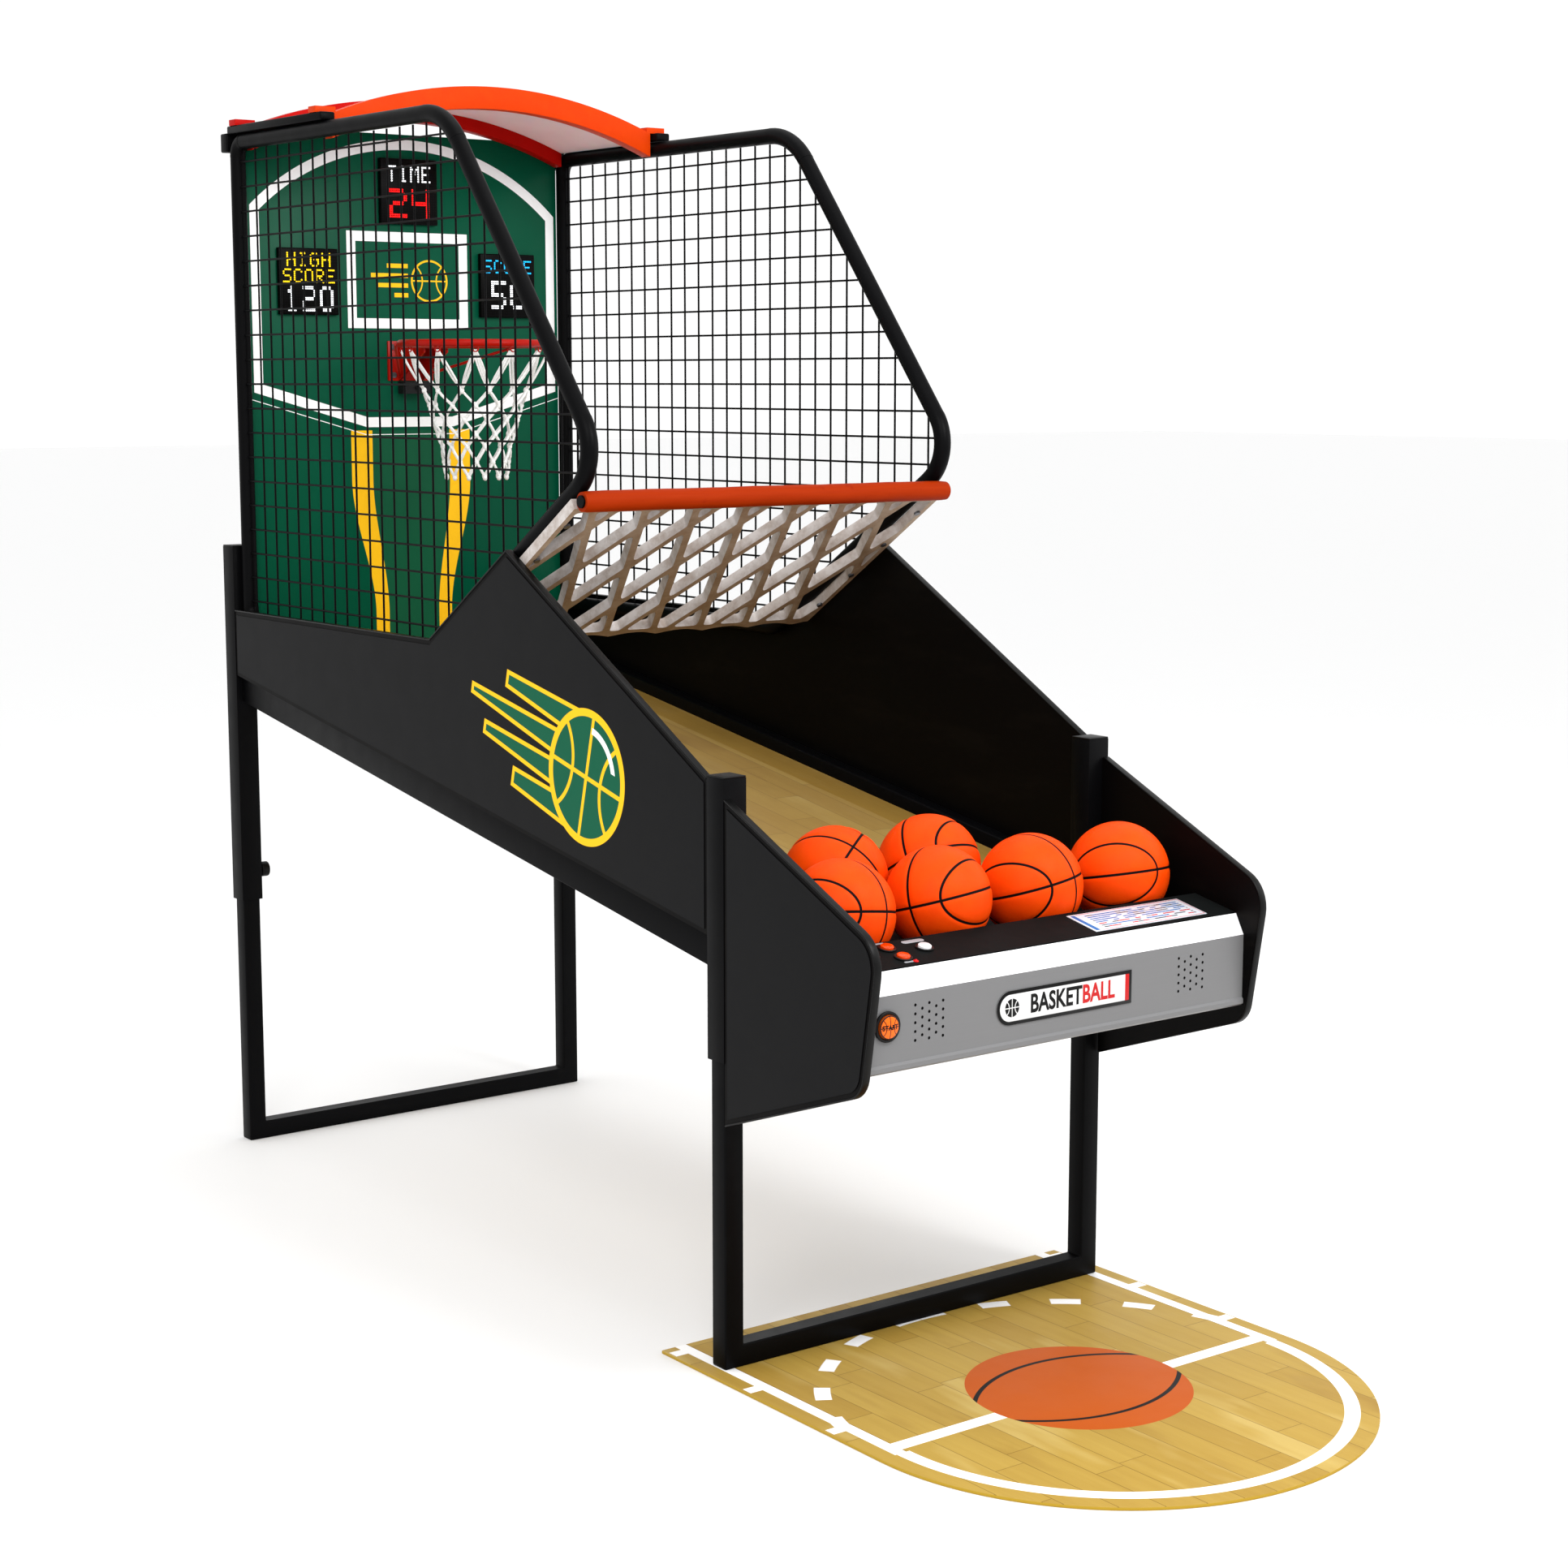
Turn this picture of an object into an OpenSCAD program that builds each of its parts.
// Home arcade basketball machine: a sloped cabinet on two telescoping leg frames, with two
// side cages, a backboard with displays, a hoop, a curved header, a ball tray and a court mat.
// Millimetres. X is the width, -Y faces the player, +Z is up, and Z = 0 is the floor.
// A side view is drawn in (s, z): s runs back from the front face of the front legs.

/* [Cabinet] */
// Width over the outer faces of the two sides
cabinet_w = 848; // [780:4:1020]
// Distance between the front faces of the front and the rear legs
leg_pitch = 1760; // [1700:10:2120]
// Thickness of the side walls
wall_t = 12; // [9:1:18]
// Thickness of the printed sheets on the side walls
graphic_t = 1.5; // [0.8:0.1:2]
// Bare black border around the printed sheets
graphic_border = 8; // [4:1:14]
// How far the edge trim stands out from a wall's edge
trim_t = 3; // [2:0.5:4]
// Height of the ramp's surface at the front legs
ramp_h = 725; // [715:5:760]
// Slope of the ramp in degrees
ramp_angle = 9.26; // [8:0.1:11]
// Thickness of the ramp board
ramp_t = 12; // [9:1:15]
// Height of the side rails
rail_h = 80; // [74:1:84]
// How far the side rails reach below the ramp's surface
rail_drop = 54; // [50:1:60]
// Height of the level part of the side walls
deck_h = 1150; // [1130:5:1180]
// Distance of the side walls' peak behind the front legs
peak_s = 656; // [640:4:690]
// Height of the side walls' peak
peak_h = 1330; // [1310:5:1350]
// Height of the side walls at the front legs
wall_front_h = 991; // [960:1:1000]

/* [Legs] */
// Side of the square leg tube
leg_w = 38; // [32:1:40]
// Wall of the outer sleeves
sleeve_wall = 3; // [2:0.5:4]
// Gap around a leg in its sleeve
leg_gap = 1; // [0.5:0.1:1.5]
// Height of the sleeves' lower ends above the floor
sleeve_low_h = 530; // [460:10:636]
// Height of the front sleeves' tops
front_sleeve_h = 998; // [990:1:1030]
// Height of the rear sleeves' tops
rear_sleeve_h = 1285; // [1240:5:1400]
// How far a leg reaches up into its sleeve
leg_engage = 300; // [200:10:340]

/* [Cage] */
// Diameter of the cage tube
cage_d = 32; // [28:1:34]
// Height of the cage's top tube, at its centre
cage_top_h = 2114; // [2060:2:2400]
// Slope of the front tube in degrees
cage_front_angle = 50.7; // [48:0.1:56]
// Slope of the lower tube in degrees
cage_low_angle = 32.7; // [30:0.1:35]
// Distance of the cage's nose corner behind the front legs
nose_s = 387; // [370:1:400]
// Height of the cage's nose corner
nose_h = 1495; // [1480:1:1520]
// Bend radius at the front of the top tube
top_bend_r = 150; // [100:5:170]
// Bend radius at the nose
nose_bend_r = 80; // [60:1:95]
// Bend radius at the other corners
small_bend_r = 30; // [24:1:50]
// Pitch of the wires in the side mesh
mesh_pitch = 50; // [40:1:75]
// Diameter of a mesh wire
wire_d = 4; // [3:0.2:5]

/* [Guard bar and guard net] */
// Diameter of the padding on the guard bar
foam_d = 38; // [34:1:46]
// Diameter of the tube in the guard bar
bar_d = 22; // [16:1:26]
// Length of the guard net down its slope
net_len = 500; // [440:10:520]
// Thickness of the guard net
net_t = 18; // [12:1:22]
// Width of a strand of the guard net
strand_w = 20; // [14:1:24]
// Number of diamonds across the guard net
net_cells = 7; // [5:1:9]
// Angle of the strands to the slope in degrees
strand_angle = 22; // [18:1:30]

/* [Tray and console] */
// Thickness of the tray's sheet
tray_t = 6; // [4:0.5:8]
// Distance of the tray's front wall ahead of the front legs
tray_s = 240; // [236:1:250]
// Depth of the console's top from back to front
console_depth = 97; // [95:1:100]
// Height of the console's back edge
console_back_h = 754; // [748:1:764]
// Height of the console's front edge
console_front_h = 735; // [730:1:740]
// Distance of the fascia's face ahead of the console's front edge
fascia_step = 19; // [12:1:22]
// Thickness of the console and fascia sheet
sheet_t = 2; // [1.5:0.1:3]
// Height of the fascia's bevel edge
bevel_h = 700; // [692:1:708]
// Height of the fascia's lower edge
fascia_low_h = 577; // [570:1:600]
// Distance of the tray walls' nose ahead of the front legs
tray_nose_s = 398; // [394:1:420]
// Height of the tray walls' nose
tray_nose_h = 784; // [778:1:800]
// How far the tray walls' front edge leans back towards the heel
tray_nose_lean = 38; // [20:1:44]
// Height of the tray walls' heel
tray_heel_h = 552; // [540:1:570]
// Height of the tray walls at the front legs, lower and upper edge
tray_wall_low_h = 427; // [400:1:460]
tray_wall_top_h = 963; // [940:1:985]
// Bend radii of the tray walls' nose and heel
tray_nose_r = 60; // [30:1:70]
tray_heel_r = 45; // [20:1:60]

/* [Controls] */
// Diameter of the start button
start_d = 38; // [30:1:40]
// Width of the rim around the start button
start_rim = 5.5; // [4:0.5:8]
// Travel of the start button
start_travel = 4; // [2:0.5:5]
// Diameter of the console buttons
button_d = 22; // [18:1:24]
// Width of the rim around a console button
button_rim = 4; // [3:0.5:6]
// Travel of the console buttons
button_travel = 3; // [2:0.5:4]
// Gap around a button in its barrel
button_gap = 0.5; // [0.3:0.1:0.8]
// Diameter of a speaker hole
speaker_hole_d = 5; // [3:0.5:6]
// Distance of the speakers' centres from the side walls
speaker_inset = 125.5; // [110:0.5:150]
// Diameter of the speakers
speaker_d = 90; // [80:2:100]

/* [Backboard and hoop] */
// Thickness of the backboard
board_t = 12; // [9:1:15]
// Height of the backboard's top edge
board_top_h = 2150; // [2100:2:2400]
// Width and height of a display
display_w = 138; // [120:1:150]
// Thickness of a display
display_t = 12; // [8:1:20]
// Height of the time display's centre
time_h = 2030; // [2000:1:2060]
// Height of the two score displays' centres
score_h = 1836; // [1800:1:1860]
// Distance of the score displays from the middle
score_x = 243; // [230:1:260]
// Height of the hoop
hoop_h = 1706; // [1680:1:1720]
// Inner diameter of the rim
rim_d = 290; // [270:2:300]
// Diameter of the rim's bar
rim_bar_d = 16; // [12:1:18]
// Distance from the backboard to the centre of the hoop
hoop_reach = 275; // [260:1:300]
// Length of the hoop's net
hoop_net_len = 270; // [220:5:290]
// Diameter of the lower end of the hoop's net
hoop_net_d = 130; // [120:2:200]

/* [Header] */
// Depth of the header from its front to its rear arch
header_len = 380; // [340:5:420]
// Height of the arches' curve above its ends, at the lower edge
arch_rise = 76; // [60:1:84]
// How far the arches' ends hang below the header's rails
arch_drop = 48; // [44:1:60]
// Height of an arch's band
arch_band = 44; // [36:1:50]
// Thickness of an arch, front to back
arch_t = 30; // [20:1:36]
// Thickness of the roof sheet
roof_t = 3; // [2:0.5:4]
// Height of the header's rails above the top tubes
header_rail_h = 16; // [12:1:20]

/* [Balls] */
// Diameter of a ball
ball_d = 177.8; // [150:0.2:180]
// Gap between the outer balls and the side walls
ball_side_gap = 17; // [4:1:30]

/* [Court mat] */
// Width of the mat
mat_w = 898; // [860:2:960]
// Length of the mat's straight sides
mat_side = 591; // [560:1:620]
// Distance of the mat's back edge behind the front face of the front legs
mat_back_s = 145; // [100:1:180]
// Thickness of the mat
mat_t = 6; // [4:0.5:8]

/* [Hidden] */
$fn = 48;
eps = 0.3;                               // gap between a round part and its seat
arc_steps = 8;
sleeve_w = leg_w + 2 * (sleeve_wall + leg_gap);
half_w = cabinet_w / 2;
wall_x = half_w - graphic_t - wall_t;    // inner face of a side wall
sleeve_x = half_w - sleeve_w;            // inner face of a sleeve
leg_x = half_w - sleeve_wall - leg_gap;  // outer face of a leg
rail_x = sleeve_x;                       // inner face of a side rail
cage_r = cage_d / 2;
cage_x = wall_x - cage_r - eps;          // middle plane of a cage

front_sleeve_s = -sleeve_wall - leg_gap;         // front face of the front sleeves
front_sleeve_back = front_sleeve_s + sleeve_w;
rear_sleeve_s = leg_pitch - sleeve_wall - leg_gap;
rear_sleeve_back = rear_sleeve_s + sleeve_w;
mat_front_s = mat_back_s - mat_side - mat_w / 2;
front_y = -(mat_front_s + rear_sleeve_back) / 2; // puts the origin at the middle of the length

wall_gap = 0.5;                          // gap between a wall and a sleeve
wall_rear_s = rear_sleeve_s - wall_gap;
wall_front_s = front_sleeve_back + wall_gap;
wall_drop = 4;                           // the walls' lower edge above the ramp's surface line
valley_s = peak_s + (peak_h - deck_h) / tan(cage_low_angle);

cage_rear_s = rear_sleeve_s - cage_r - eps;
cage_base_h = deck_h - 20;
cage_front_s = nose_s + (cage_top_h - nose_h) / tan(cage_front_angle);
cage_low_s = nose_s + (nose_h - cage_base_h) / tan(cage_low_angle);
CAGE = [[cage_rear_s, cage_top_h], [cage_front_s, cage_top_h], [nose_s, nose_h],
        [cage_low_s, cage_base_h], [cage_rear_s, cage_base_h]];
CAGE_BENDS = [small_bend_r, top_bend_r, nose_bend_r, small_bend_r, small_bend_r];

WALL = [[wall_rear_s, ramp_z(wall_rear_s) + wall_drop], [wall_rear_s, deck_h],
        [valley_s, deck_h], [peak_s, peak_h], [wall_front_s, wall_front_h],
        [wall_front_s, ramp_z(wall_front_s) + wall_drop]];
tray_wall_s = front_sleeve_s - wall_gap;
TRAY_WALL = [[tray_wall_s, tray_wall_top_h], [-tray_nose_s, tray_nose_h],
             [tray_nose_lean - tray_nose_s, tray_heel_h], [tray_wall_s, tray_wall_low_h]];
TRAY_BENDS = [0, tray_nose_r, tray_heel_r, 0];

console_angle = atan((console_back_h - console_front_h) / console_depth);
console_front_s = -tray_s - console_depth;
fascia_s = console_front_s - fascia_step;        // the fascia's front face
console_t = 3;
board_s = rear_sleeve_s - board_t;               // front face of the backboard
board_x = min(rail_x, cage_x - cage_r) - eps;     // it stands between the cages and the rails
hoop_s = board_s - hoop_reach;
rim_r = (rim_d + rim_bar_d) / 2;
net_drop = cage_r + eps + net_t / 2;             // guard net's middle below the lower tube's
net_x = cage_x + cage_r;
net_pitch = 2 * net_x / net_cells;
ball_r = ball_d / 2;
header_top = cage_top_h + cage_r + header_rail_h + eps;
header_rear_s = board_s - eps;                   // back face of the rear arch
arch_x = cage_x - cage_r - 4;                    // half the width of an arch's band
arch_r = (arch_x * arch_x + arch_rise * arch_rise) / (2 * arch_rise);
arch_foot_h = header_top - arch_drop;            // lower edge of the arches at their ends
arch_centre_h = arch_foot_h + arch_rise - arch_r;
bar_seat_angle = 50;                             // where on the nose bend the guard bar sits

// ---- side view helpers ----

function ramp_z(s) = ramp_h + s * tan(ramp_angle);
function console_z(s) = console_back_h + (s + tray_s) * tan(console_angle);
function unit(v) = v / norm(v);
function left_of(d) = [-d[1], d[0]];

// Points of a rounded corner at p, on the way from a to b
function corner(a, p, b, r) =
    let (d1 = unit(p - a), d2 = unit(b - p), turn = acos(d1 * d2), side = sign(cross(d1, d2)),
         start = p - d1 * r * tan(turn / 2), n = left_of(d1) * side, c = start + n * r)
    r == 0 ? [p] :
    [for (k = [0 : arc_steps]) let (w = side * turn * k / arc_steps, v = -n * r)
        c + [v[0] * cos(w) - v[1] * sin(w), v[0] * sin(w) + v[1] * cos(w)]];

// A closed outline with rounded corners
function rounded(pts, radii) = let (n = len(pts))
    [for (i = [0 : n - 1]) each corner(pts[(i + n - 1) % n], pts[i], pts[(i + 1) % n], radii[i])];

// An open path with rounded corners
function rounded_path(pts, radii) = let (n = len(pts))
    [for (i = [0 : n - 1]) each (i == 0 || i == n - 1) ? [pts[i]]
        : corner(pts[i - 1], pts[i], pts[i + 1], radii[i])];

// A point of an outline moved d to the left of the way from a over p to b
function moved(a, p, b, d) = let (n1 = left_of(unit(p - a)), n2 = left_of(unit(b - p)))
    p + (n1 + n2) * d / (1 + n1 * n2);
function inset(pts, d) = let (n = len(pts))
    [for (i = [0 : n - 1]) moved(pts[(i + n - 1) % n], pts[i], pts[(i + 1) % n], d)];
function inset_path(pts, d) = let (n = len(pts))
    [for (i = [0 : n - 1])
        i == 0 ? pts[0] + left_of(unit(pts[1] - pts[0])) * d
        : i == n - 1 ? pts[i] + left_of(unit(pts[i] - pts[i - 1])) * d
        : moved(pts[i - 1], pts[i], pts[i + 1], d)];
function reversed(pts) = [for (i = [len(pts) - 1 : -1 : 0]) pts[i]];

// The band between a path and the same path moved d to its left
module band(path, d) { polygon(concat(path, reversed(inset_path(path, d)))); }

// Children drawn in (s, z) and extruded along X, from x
module side_view(x) { translate([x, front_y, 0]) rotate([90, 0, 90]) children(); }
module slab(x0, x1) { side_view(x0) linear_extrude(x1 - x0) children(); }
module across(half) { slab(-half, half) children(); }

// Children are drawn for the right side; the left side is their mirror image
module on_side(side) { if (side > 0) children(); else mirror([1, 0, 0]) children(); }
module both_sides() { children(); mirror([1, 0, 0]) children(); }

module block(x0, x1, s0, s1, z0, z1) {
    translate([x0, front_y + s0, z0]) cube([x1 - x0, s1 - s0, z1 - z0]);
}

// A closed loop of round tube in the plane of the side view: the straight tubes have slip ends
// a little thinner than the bends
module tube_loop(pts, radii, r) {
    slip = 3;
    step = 0.4;
    n = len(pts);
    for (i = [0 : n - 1]) {
        a = pts[(i + n - 1) % n];
        p = pts[i];
        b = pts[(i + 1) % n];
        c = pts[(i + 2) % n];
        d1 = unit(p - a);
        d2 = unit(b - p);
        d3 = unit(c - b);
        cut1 = radii[i] * tan(acos(d1 * d2) / 2);
        cut2 = radii[(i + 1) % n] * tan(acos(d2 * d3) / 2);
        from = p + d2 * cut1;
        centre = p - d1 * cut1 + left_of(d1) * radii[i];
        translate([from[0], from[1], 0]) rotate([0, 0, atan2(d2[1], d2[0])]) rotate([0, 90, 0])
            translate([0, 0, -slip]) cylinder(h = norm(b - p) - cut1 - cut2 + 2 * slip, r = r - step);
        translate([centre[0], centre[1], 0]) rotate([0, 0, atan2(d1[1], d1[0]) - 90])
            rotate_extrude(angle = acos(d1 * d2)) translate([radii[i], 0]) circle(r);
    }
}

// ---- legs and frame ----

knob_shaft_r = 5;
knob_z = sleeve_low_h + 60;

module sleeve(s0, top) {
    difference() {
        block(sleeve_x, half_w, s0, s0 + sleeve_w, sleeve_low_h, top);
        block(sleeve_x + sleeve_wall, half_w - sleeve_wall, s0 + sleeve_wall,
              s0 + sleeve_w - sleeve_wall, sleeve_low_h - 1, top + 1);
        translate([sleeve_x - 1, front_y + s0 + sleeve_w / 2, knob_z]) rotate([0, 90, 0])
            cylinder(h = sleeve_wall + 2, r = knob_shaft_r + 0.2);
    }
}

module leg_sleeves() {
    color([0.03, 0.03, 0.03]) both_sides() {
        sleeve(front_sleeve_s, front_sleeve_h);
        sleeve(rear_sleeve_s, rear_sleeve_h);
    }
}

module sleeve_cap(s0, top) {
    plug = 10;
    lid = 3;
    fit = sleeve_wall + 0.2;
    block(sleeve_x, half_w, s0, s0 + sleeve_w, top, top + lid);
    block(sleeve_x + fit, half_w - fit, s0 + fit, s0 + sleeve_w - fit, top - plug, top);
}

module sleeve_caps() {
    color([0.05, 0.05, 0.05]) both_sides() {
        sleeve_cap(front_sleeve_s, front_sleeve_h);
        sleeve_cap(rear_sleeve_s, rear_sleeve_h);
    }
}

// A clamp screw through a sleeve's inner face, with its tip just off the leg
module lock_knob(s0) {
    stand_off = 6;
    grip_h = 18;
    grip_r = 16;
    translate([sleeve_x - stand_off, front_y + s0 + sleeve_w / 2, knob_z]) rotate([0, 90, 0]) {
        cylinder(h = stand_off + sleeve_wall + leg_gap - eps, r = knob_shaft_r);
        translate([0, 0, -grip_h]) cylinder(h = grip_h, r = grip_r);
    }
}

module lock_knobs() {
    color([0.07, 0.07, 0.07]) both_sides() {
        lock_knob(front_sleeve_s);
        lock_knob(rear_sleeve_s);
    }
}

module side_rails() {
    up = rail_h - rail_drop;
    color([0.03, 0.03, 0.03]) both_sides() slab(rail_x, wall_x)
        polygon([[wall_front_s - wall_gap, ramp_z(front_sleeve_back) - rail_drop],
                 [rear_sleeve_s, ramp_z(rear_sleeve_s) - rail_drop],
                 [rear_sleeve_s, ramp_z(rear_sleeve_s) + up],
                 [wall_front_s - wall_gap, ramp_z(front_sleeve_back) + up]]);
}

cross_w = 38;
cross_h = 30;
rear_cross_h = 1150;

// A cross tube whose top follows the underside of the ramp
module ramp_cross(s0) {
    s1 = s0 + cross_w;
    top = -ramp_t - 0.1;
    across(rail_x) polygon([[s0, ramp_z(s0) + top - cross_h], [s1, ramp_z(s1) + top - cross_h],
                            [s1, ramp_z(s1) + top], [s0, ramp_z(s0) + top]]);
}

module cross_members() {
    color([0.03, 0.03, 0.03]) {
        for (s0 = [0, leg_pitch / 2, leg_pitch - 3 * cross_w]) ramp_cross(s0);
        block(-sleeve_x, sleeve_x, rear_sleeve_s + eps, rear_sleeve_s + cross_h,
              rear_cross_h - cross_w, rear_cross_h);
        block(-sleeve_x, sleeve_x, rear_sleeve_s + eps, rear_sleeve_s + cross_h,
              ramp_z(leg_pitch) - cross_w, ramp_z(leg_pitch));
        block(-wall_x, wall_x, rear_sleeve_s + eps, rear_sleeve_s + cross_h,
              cage_top_h - cross_w / 2, cage_top_h + cross_w / 2);
    }
}

// ---- sides ----

module side_wall(side) {
    color([0.04, 0.04, 0.04]) on_side(side) slab(wall_x, wall_x + wall_t) polygon(WALL);
}

module side_graphic(side) {
    color([0.13, 0.13, 0.135]) on_side(side) slab(half_w - graphic_t, half_w) {
        polygon(inset(WALL, graphic_border));
        polygon(rounded(inset(TRAY_WALL, graphic_border),
                        [for (r = TRAY_BENDS) max(r - graphic_border, 0)]));
    }
}

module tray_wall(side) {
    color([0.04, 0.04, 0.04]) on_side(side)
        slab(wall_x, wall_x + wall_t) polygon(rounded(TRAY_WALL, TRAY_BENDS));
}

module edge_trim(side) {
    front_end = WALL[4] + unit(WALL[3] - WALL[4]) * trim_t;
    top_edge = [WALL[1], WALL[2], WALL[3], front_end];
    color([0.02, 0.02, 0.02]) on_side(side) slab(wall_x, half_w + 0.5) {
        band(top_edge, -trim_t);
        band(rounded_path(TRAY_WALL, TRAY_BENDS), -trim_t);
    }
}

// ---- cage ----

module cage_tube(side) {
    color([0.03, 0.03, 0.03]) on_side(side) side_view(cage_x) tube_loop(CAGE, CAGE_BENDS, cage_r);
}

module cage_mesh(side) {
    inner = cage_r + eps;
    window = rounded(inset(CAGE, inner), [for (r = CAGE_BENDS) max(r - inner, 1)]);
    layer = wire_d / 2 + 0.05;
    color([0.03, 0.03, 0.03]) on_side(side) side_view(cage_x) intersection() {
        translate([0, 0, -wire_d - 1]) linear_extrude(2 * wire_d + 2) polygon(window);
        union() {
            for (s = [cage_rear_s - mesh_pitch / 2 : -mesh_pitch : nose_s + nose_bend_r / 2])
                translate([s, 0, -layer]) rotate([-90, 0, 0]) cylinder(h = cage_top_h, d = wire_d, $fn = 16);
            for (z = [cage_top_h - mesh_pitch / 2 - cage_r : -mesh_pitch : cage_base_h + cage_d])
                translate([0, z, layer]) rotate([0, 90, 0]) cylinder(h = leg_pitch, d = wire_d, $fn = 16);
        }
    }
}

// ---- backboard and displays ----

module backboard() {
    color([0.05, 0.34, 0.24])
        block(-board_x, board_x, board_s, board_s + board_t, ramp_z(board_s) + 8, board_top_h);
}

module display(x, z) {
    color([0.02, 0.02, 0.02]) block(x - display_w / 2, x + display_w / 2, board_s - display_t, board_s,
                                    z - display_w / 2, z + display_w / 2);
}
module time_display() { display(0, time_h); }
module high_score_display() { display(-score_x, score_h); }
module score_display() { display(score_x, score_h); }

// ---- hoop ----

bracket_w = 110;
bracket_h = 84;
bracket_t = 5;
neck_w = 60;
brace_r = 3;
brace_turn = 66;        // where a brace meets the rim, in degrees round from the bracket

// A round rod between two points
module rod(a, b, r) {
    d = b - a;
    translate(a) rotate([0, acos(d[2] / norm(d)), atan2(d[1], d[0])]) cylinder(h = norm(d), r = r);
}

// A stay from the bracket's foot to the outside of the rim
module brace(side) {
    reach = rim_r + rim_bar_d / 2 + brace_r + eps;
    foot_h = hoop_h + rim_bar_d / 2 - bracket_h + 10;
    rod([side * (neck_w - bracket_t) / 2, front_y + board_s - bracket_t - 1, foot_h],
        [side * reach * sin(brace_turn), front_y + hoop_s + reach * cos(brace_turn), hoop_h - 2], brace_r);
}

module hoop_bracket() {
    top = hoop_h + rim_bar_d / 2;
    rim_back = hoop_s + rim_r + rim_bar_d / 2 + eps;
    color([0.65, 0.05, 0.03]) {
        block(-bracket_w / 2, bracket_w / 2, board_s - bracket_t, board_s, top - bracket_h, top);
        block(-neck_w / 2, neck_w / 2, rim_back, board_s - bracket_t, top - rim_bar_d, top);
        for (x = [-neck_w / 2, neck_w / 2 - bracket_t]) slab(x, x + bracket_t)
            polygon([[board_s - bracket_t, top - bracket_h], [board_s - bracket_t, top - rim_bar_d],
                     [rim_back, top - rim_bar_d], [rim_back, top - rim_bar_d - 8]]);
        for (side = [-1, 1]) brace(side);
    }
}

module hoop_rim() {
    color([0.72, 0.06, 0.03]) translate([0, front_y + hoop_s, hoop_h])
        rotate_extrude($fn = 96) translate([rim_r, 0]) circle(d = rim_bar_d);
}

// The closed outer shape of the hanging net, open at both ends
module hoop_net() {
    net_wall = 4;
    top = hoop_h - rim_bar_d / 2 - eps;
    waist_r = hoop_net_d / 2 + 12;
    waist_z = top - hoop_net_len * 0.55;
    low = top - hoop_net_len;
    r0 = rim_r - net_wall / 2;
    r2 = hoop_net_d / 2 - net_wall;
    color([0.95, 0.95, 0.95]) translate([0, front_y + hoop_s, 0]) rotate_extrude($fn = 64)
        polygon([[r0, top], [r0 + net_wall, top], [waist_r, waist_z], [r2 + net_wall, low],
                 [r2, low], [waist_r - net_wall, waist_z]]);
}

// Optical sensor that counts the balls, under the hoop's bracket
module score_sensor() {
    top = hoop_h + rim_bar_d / 2 - bracket_h - 2;
    color([0.1, 0.1, 0.1]) {
        block(-30, 30, board_s - 34, board_s, top - 26, top);
        translate([0, front_y + board_s - 34, top - 13]) rotate([90, 0, 0]) cylinder(h = 5, r = 6);
    }
}

// ---- header ----

// The strip between two radii over the width between the cages, drawn in (x, z)
module header_arc(low_r, high_r) {
    intersection() {
        translate([0, arch_centre_h]) difference() {
            circle(r = high_r, $fn = 360);
            circle(r = low_r, $fn = 360);
        }
        translate([-arch_x, arch_foot_h]) square([2 * arch_x, arch_rise + 2 * arch_band]);
    }
}

// An arch with a tab on each end that rests on a header rail
module arch(s0) {
    tab_t = 12;
    tab_len = 44;
    tab_x = cage_x + cage_r;
    translate([0, front_y + s0 + arch_t, 0]) rotate([90, 0, 0]) linear_extrude(arch_t) {
        header_arc(arch_r, arch_r + arch_band);
        for (x = [-tab_x, tab_x - tab_len]) translate([x, header_top]) square([tab_len, tab_t]);
    }
}

module header_front_arch() { color([0.9, 0.27, 0.02]) arch(header_rear_s - header_len); }
module header_rear_arch() { color([0.8, 0.1, 0.02]) arch(header_rear_s - arch_t); }

module header_roof() {
    roof_r = arch_r + arch_band * 0.6;
    color([0.85, 0.85, 0.87]) translate([0, front_y + header_rear_s - arch_t - eps, 0])
        rotate([90, 0, 0]) linear_extrude(header_len - 2 * arch_t - 2 * eps)
            header_arc(roof_r, roof_r + roof_t);
}

module header_rails() {
    front_lap = 20;
    color([0.03, 0.03, 0.03]) both_sides()
        block(cage_x - cage_r, cage_x + cage_r, header_rear_s - header_len - front_lap,
              cage_rear_s + cage_r, cage_top_h + cage_r + eps, header_top);
}

// ---- guard bar and guard net ----

// Centre of the nose bend and the place of the guard bar against it, in (s, z)
function nose_centre() = let (d1 = unit(CAGE[2] - CAGE[1]), d2 = unit(CAGE[3] - CAGE[2]),
                              turn = acos(d1 * d2))
    CAGE[2] - d1 * nose_bend_r * tan(turn / 2) + left_of(d1) * nose_bend_r;
function bar_centre() = nose_centre()
    - (nose_bend_r + cage_r + foam_d / 2 + eps) * [cos(bar_seat_angle), sin(bar_seat_angle)];

module guard_bar_tube() {
    color([0.05, 0.05, 0.05]) side_view(-net_x) translate([bar_centre()[0], bar_centre()[1], 0])
        cylinder(h = 2 * net_x, d = bar_d);
}

module guard_bar_foam() {
    color([0.95, 0.3, 0.03]) side_view(-net_x + 4) translate([bar_centre()[0], bar_centre()[1], 0])
        difference() {
            cylinder(h = 2 * net_x - 8, d = foam_d);
            translate([0, 0, -1]) cylinder(h = 2 * net_x, d = bar_d + 2 * eps);
        }
}

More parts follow.
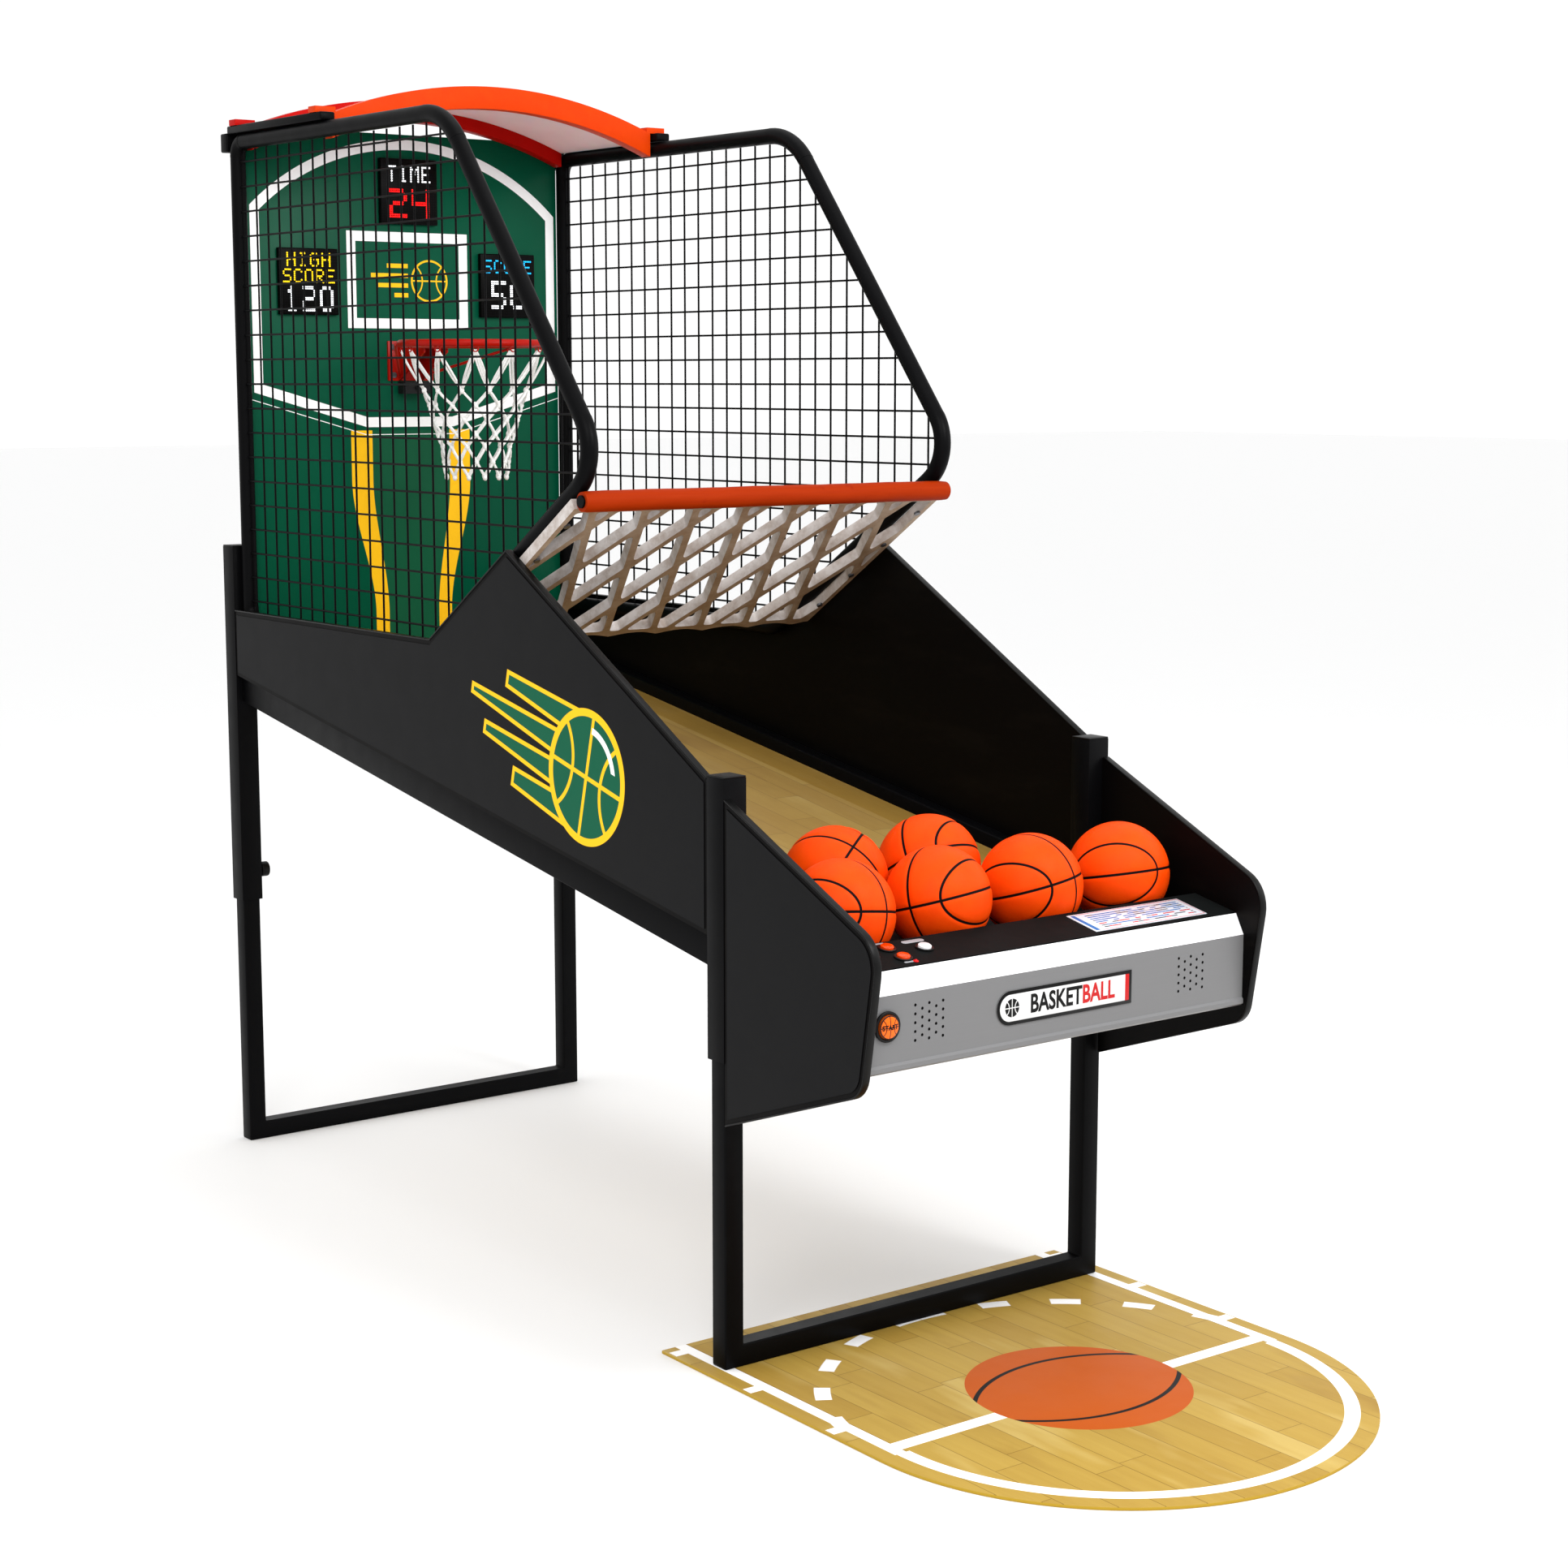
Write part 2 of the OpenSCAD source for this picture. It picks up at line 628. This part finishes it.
// The net's own plane: x across, y down the slope from the guard bar
module net_plane() {
    start = bar_centre() + unit([cos(cage_low_angle), -sin(cage_low_angle)]) * (foam_d / 2 + 2);
    tube = CAGE[2] + ((start - CAGE[2]) * [cos(cage_low_angle), -sin(cage_low_angle)])
           * [cos(cage_low_angle), -sin(cage_low_angle)];
    mid = tube - net_drop * [sin(cage_low_angle), cos(cage_low_angle)];
    translate([0, front_y + mid[0], mid[1]]) rotate([-cage_low_angle, 0, 0]) children();
}

// Strands of one family, as strips that lean by the given angle
module strands(lean) {
    reach = net_len / cos(strand_angle) + 2 * strand_w;
    shift = net_len * tan(strand_angle);
    for (x = [-net_x - ceil(shift / net_pitch) * net_pitch : net_pitch : net_x + shift])
        translate([lean * x, 0]) rotate(-lean * strand_angle)
            translate([-strand_w / 2, -strand_w]) square([strand_w, reach + strand_w]);
}

module guard_net() {
    wave = 10;
    color([0.75, 0.72, 0.68]) net_plane() translate([0, 0, -net_t / 2]) linear_extrude(net_t) {
        intersection() {
            union() {
                strands(1);
                strands(-1);
            }
            translate([-net_x, 0]) square([2 * net_x, net_len]);
        }
        for (x = [-net_x, net_x - strand_w]) translate([x, 0]) square([strand_w, net_len]);
        translate([-net_x, 0]) square([2 * net_x, strand_w]);
        for (k = [0 : 2 * net_cells - 1]) let (x0 = -net_x + k * net_pitch / 2, up = k % 2)
            polygon([[x0, net_len - strand_w + wave * up],
                     [x0 + net_pitch / 2, net_len - strand_w + wave * (1 - up)],
                     [x0 + net_pitch / 2, net_len + wave * (1 - up)], [x0, net_len + wave * up]]);
    }
}

bolt_head_r = 6;
bolt_head_h = 4;

module frame_bolts() {
    color([0.25, 0.25, 0.26]) {
        for (x = [-bracket_w / 2 + 12, bracket_w / 2 - 12], z = [-12, 12 - bracket_h])
            translate([x, front_y + board_s - bracket_t, hoop_h + rim_bar_d / 2 + z])
                rotate([90, 0, 0]) cylinder(h = bolt_head_h, r = bolt_head_r);
        net_plane() for (x = [-cage_x, cage_x], y = [60 : 120 : net_len - 40])
            translate([x, y, -net_t / 2 - bolt_head_h]) cylinder(h = bolt_head_h, r = bolt_head_r);
        for (x = [-1, 1], s = [leg_pitch / 4, leg_pitch * 3 / 4])
            translate([x * (rail_x - bolt_head_h / 2), front_y + s, ramp_z(s) - rail_drop + 14])
                rotate([0, 90, 0]) cylinder(h = bolt_head_h, r = bolt_head_r, center = true);
    }
}

// ---- ramp, tray, console ----

module ball_ramp() {
    color([0.72, 0.58, 0.3]) across(rail_x - eps)
        polygon([[0, ramp_z(0) - ramp_t], [board_s + board_t, ramp_z(board_s + board_t) - ramp_t],
                 [board_s + board_t, ramp_z(board_s + board_t)], [0, ramp_z(0)]]);
}

module ball_tray() {
    top = console_z(-tray_s - tray_t) - console_t / cos(console_angle) - eps;
    color([0.06, 0.06, 0.06]) across(wall_x - eps)
        polygon([[tray_wall_s, ramp_z(tray_wall_s) - tray_t], [tray_wall_s, ramp_z(tray_wall_s)],
                 [-tray_s, ramp_z(-tray_s)], [-tray_s, top], [-tray_s - tray_t, top],
                 [-tray_s - tray_t, ramp_z(-tray_s) - tray_t]]);
}

// Places children on the console's top: x across, y up the slope from its front edge
module on_console() {
    translate([0, front_y + console_front_s, console_front_h]) rotate([console_angle, 0, 0]) children();
}

console_len = console_depth / cos(console_angle);
lamp_r = 2.9;
// Distance of each button from the left wall, and up the slope from the console's front edge
BUTTONS = [for (b = [[65, 52], [114, 32], [175, 54], [113, 72]]) [b[0] - wall_x, b[1]]];
lamp_at = BUTTONS[1] + (button_d / 2 + button_rim + lamp_r + 3.2) * [cos(58.6), -sin(58.6)];

module console_panel() {
    front_gap = sheet_t + 0.6;    // room for the fascia's upper edge
    color([0.13, 0.13, 0.135]) on_console() difference() {
        translate([eps - wall_x, front_gap, -console_t])
            cube([2 * (wall_x - eps), console_len - front_gap, console_t]);
        for (b = BUTTONS) translate([b[0], b[1], -console_t - 1])
            cylinder(h = console_t + 2, r = barrel_hole_r(button_d));
        translate([lamp_at[0], lamp_at[1], -console_t - 1]) cylinder(h = console_t + 2, r = lamp_r + 0.3);
    }
}

start_at = [40 - wall_x, 652];
speaker_h = 650;
plate_mid_h = 646;

// Outline of the fascia's face, with a bead along its lower edge
function fascia_path() = [[console_front_s - eps, console_front_h - 1], [fascia_s, bevel_h],
    [fascia_s, fascia_low_h + 15], [fascia_s - 3, fascia_low_h + 11], [fascia_s - 3, fascia_low_h + 4],
    [fascia_s + 3, fascia_low_h], [-tray_s - tray_t, fascia_low_h]];

module speaker_holes() {
    step = 14;
    for (side = [-1, 1], col = [-2 : 2], row = [0 : 4 - abs(col) % 2])
        translate([side * (wall_x - speaker_inset) + col * step, front_y + fascia_s + 10,
                   speaker_h + (row - (4 - abs(col) % 2) / 2) * step])
            rotate([90, 0, 0]) cylinder(h = 20, d = speaker_hole_d, $fn = 16);
}

module fascia() {
    color([0.6, 0.6, 0.6]) difference() {
        across(wall_x - eps) band(fascia_path(), sheet_t);
        speaker_holes();
        translate([start_at[0], front_y + fascia_s + 10, start_at[1]]) rotate([90, 0, 0])
            cylinder(h = 20, r = barrel_hole_r(start_d));
    }
}

plate_w = 294;
plate_h = 56;

module name_plate() {
    plate_t = 2;
    color([0.9, 0.9, 0.9]) translate([0, front_y + fascia_s, plate_mid_h]) rotate([90, 0, 0])
        linear_extrude(plate_t) {
            translate([plate_h / 2 - plate_w / 2, 0]) circle(d = plate_h);
            translate([plate_h / 2 - plate_w / 2, -plate_h / 2])
                square([plate_w - plate_h / 2, plate_h]);
        }
}

module placard() {
    placard_size = [256, 74, 1.2];
    inset_x = 58;
    color([0.9, 0.9, 0.92]) on_console()
        translate([wall_x - inset_x - placard_size[0], 12, 0]) cube(placard_size);
}

// ---- buttons ----

// Barrel with a rim, closed by its switch at the back; the panel's face is at z = 0
module barrel(plunger_d, rim_w, rim_t, depth) {
    bore_r = plunger_d / 2 + button_gap;
    difference() {
        union() {
            cylinder(h = rim_t, r = plunger_d / 2 + rim_w);
            translate([0, 0, -depth]) cylinder(h = depth, r = bore_r + barrel_wall);
        }
        translate([0, 0, barrel_floor - depth]) cylinder(h = depth + rim_t, r = bore_r);
    }
}
function barrel_hole_r(plunger_d) = plunger_d / 2 + button_gap + barrel_wall + 0.2;

barrel_wall = 1.3;
barrel_floor = 4;
run_out = 2;            // room left under a pressed button
collar_t = 3;
button_depth = 24;
button_proud = 7;
start_rim_t = 5;
start_depth = 34;

module button_collars() {
    color([0.05, 0.05, 0.05]) on_console() for (b = BUTTONS)
        translate([b[0], b[1], 0]) barrel(button_d, button_rim, collar_t, button_depth);
}

// Button k of the list, which are the select, player, volume and credit buttons
module console_button(k, tint) {
    low = barrel_floor - button_depth + button_travel + run_out;
    chamfer = 1.5;
    shoulder = button_proud - chamfer;
    color(tint) on_console() translate([BUTTONS[k][0], BUTTONS[k][1], 0]) {
        translate([0, 0, low]) cylinder(h = shoulder - low, d = button_d);
        translate([0, 0, shoulder]) cylinder(h = chamfer, d1 = button_d, d2 = button_d - 4);
    }
}
module select_button() { console_button(0, [0.92, 0.92, 0.92]); }
module player_button() { console_button(1, [0.9, 0.25, 0.03]); }
module volume_button() { console_button(2, [0.92, 0.92, 0.92]); }
module credit_button() { console_button(3, [0.9, 0.25, 0.03]); }

module status_lamp() {
    flange_t = 1;
    color([0.8, 0.02, 0.02]) on_console() translate([lamp_at[0], lamp_at[1], 0]) {
        translate([0, 0, -8]) cylinder(h = 8, r = lamp_r);
        cylinder(h = flange_t, r = lamp_r + 1.6);
        translate([0, 0, flange_t]) cylinder(h = 2, r1 = lamp_r, r2 = lamp_r - 1.3);
    }
}

// Children on the fascia at the start button: z points out towards the player
module at_start() {
    translate([start_at[0], front_y + fascia_s, start_at[1]]) rotate([90, 0, 0]) children();
}

module start_bezel() {
    color([0.04, 0.04, 0.04]) at_start() barrel(start_d, start_rim, start_rim_t, start_depth);
}

module start_button() {
    low = barrel_floor - start_depth + start_travel + run_out;
    edge = start_rim_t + 3;
    crown = 3;
    crown_r = (start_d * start_d / 4 + crown * crown) / (2 * crown);
    color([0.95, 0.35, 0.05]) at_start() {
        translate([0, 0, low]) cylinder(h = edge - low, d = start_d);
        translate([0, 0, edge]) intersection() {
            translate([0, 0, crown - crown_r]) sphere(r = crown_r, $fn = 96);
            cylinder(h = crown + 1, d = start_d);
        }
    }
}

// ---- electrics ----

module speakers() {
    rim = 4;
    color([0.12, 0.12, 0.12]) for (side = [-1, 1])
        translate([side * (wall_x - speaker_inset), front_y + fascia_s + sheet_t + eps, speaker_h])
        rotate([-90, 0, 0]) {
            cylinder(h = rim, d = speaker_d);
            translate([0, 0, rim]) cylinder(h = 22, d1 = speaker_d - 6, d2 = 46);
            translate([0, 0, rim + 22]) cylinder(h = 12, d = 46);
        }
}

shelf_z = fascia_low_h + sheet_t;

shelf_s = -tray_s - 12;
box_depth = 80;

// A closed box on the fascia's lower shelf
module shelf_box(x0, w, h) {
    block(x0, x0 + w, shelf_s - box_depth, shelf_s, shelf_z, shelf_z + h);
}
module control_box() { color([0.1, 0.25, 0.12]) shelf_box(-90, 180, 90); }
module power_supply() { color([0.55, 0.55, 0.57]) shelf_box(130, 90, 50); }

// Mains inlet on the rear cross tube; the cord is not part of the model
module power_inlet() {
    s0 = rear_sleeve_s + cross_h;
    x0 = 250;
    w = 50;
    t = 14;
    rim = 7;
    low = rear_cross_h - cross_w + 2;
    color([0.05, 0.05, 0.05]) difference() {
        block(x0, x0 + w, s0, s0 + t, low, rear_cross_h - 2);
        block(x0 + rim + 5, x0 + w - rim - 5, s0 + 4, s0 + t + 1, low + rim, rear_cross_h - 2 - rim);
    }
}

// ---- balls ----

// Height of a ball's centre when it rests on the sloped floor at s
function ball_z(s) = ramp_z(s) + (ball_r + eps) / cos(ramp_angle);

// The front row rests on the floor and against the console's back edge
touch_r = ball_r + eps;
lip_rise = touch_r - (console_back_h - ramp_z(-tray_s)) * cos(ramp_angle);
front_row_s = -tray_s + sqrt(touch_r * touch_r - lip_rise * lip_rise) * cos(ramp_angle)
              - lip_rise * sin(ramp_angle);
front_row_x = (2 * (wall_x - ball_side_gap) - ball_d) / 3;
back_row_s = front_row_s + sqrt(pow(ball_d + 1, 2) - pow(front_row_x / 2, 2)) * cos(ramp_angle);

module ball(x, s) {
    color([0.95, 0.3, 0.03]) translate([x, front_y + s, ball_z(s)]) sphere(d = ball_d, $fn = 64);
}
module ball_1() { ball(-1.5 * front_row_x, front_row_s); }
module ball_2() { ball(-0.5 * front_row_x, front_row_s); }
module ball_3() { ball(0.5 * front_row_x, front_row_s); }
module ball_4() { ball(1.5 * front_row_x, front_row_s); }
module ball_5() { ball(-front_row_x, back_row_s); }
module ball_6() { ball(0, back_row_s); }

// ---- leg frames and mat ----

module leg_frame(s0, low) {
    top = sleeve_low_h + leg_engage;
    both_sides() block(leg_x - leg_w, leg_x, s0, s0 + leg_w, low, top);
    block(-leg_x, leg_x, s0, s0 + leg_w, low, low + leg_w);
}
module front_leg_frame() { color([0.03, 0.03, 0.03]) leg_frame(0, mat_t); }
module rear_leg_frame() { color([0.03, 0.03, 0.03]) leg_frame(leg_pitch, 0); }

module court_mat() {
    color([0.83, 0.7, 0.35]) translate([0, front_y + mat_back_s - mat_side, 0]) linear_extrude(mat_t) {
        circle(d = mat_w, $fn = 128);
        translate([-mat_w / 2, 0]) square([mat_w, mat_side]);
    }
}

leg_sleeves();
sleeve_caps();
lock_knobs();
side_rails();
cross_members();
side_wall(-1);  // side_wall_left
side_wall(1);  // side_wall_right
side_graphic(-1);  // side_graphic_left
side_graphic(1);  // side_graphic_right
tray_wall(-1);  // tray_wall_left
tray_wall(1);  // tray_wall_right
edge_trim(-1);  // edge_trim_left
edge_trim(1);  // edge_trim_right
cage_tube(-1);  // cage_tube_left
cage_tube(1);  // cage_tube_right
cage_mesh(-1);  // cage_mesh_left
cage_mesh(1);  // cage_mesh_right
backboard();
time_display();
high_score_display();
score_display();
hoop_bracket();
hoop_rim();
hoop_net();
score_sensor();
header_front_arch();
header_rear_arch();
header_roof();
header_rails();
guard_bar_tube();
guard_bar_foam();
guard_net();
frame_bolts();
ball_ramp();
ball_tray();
console_panel();
fascia();
name_plate();
placard();
start_bezel();
start_button();
button_collars();
select_button();
player_button();
volume_button();
credit_button();
status_lamp();
speakers();
control_box();
power_supply();
power_inlet();
ball_1();
ball_2();
ball_3();
ball_4();
ball_5();
ball_6();
front_leg_frame();
rear_leg_frame();
court_mat();
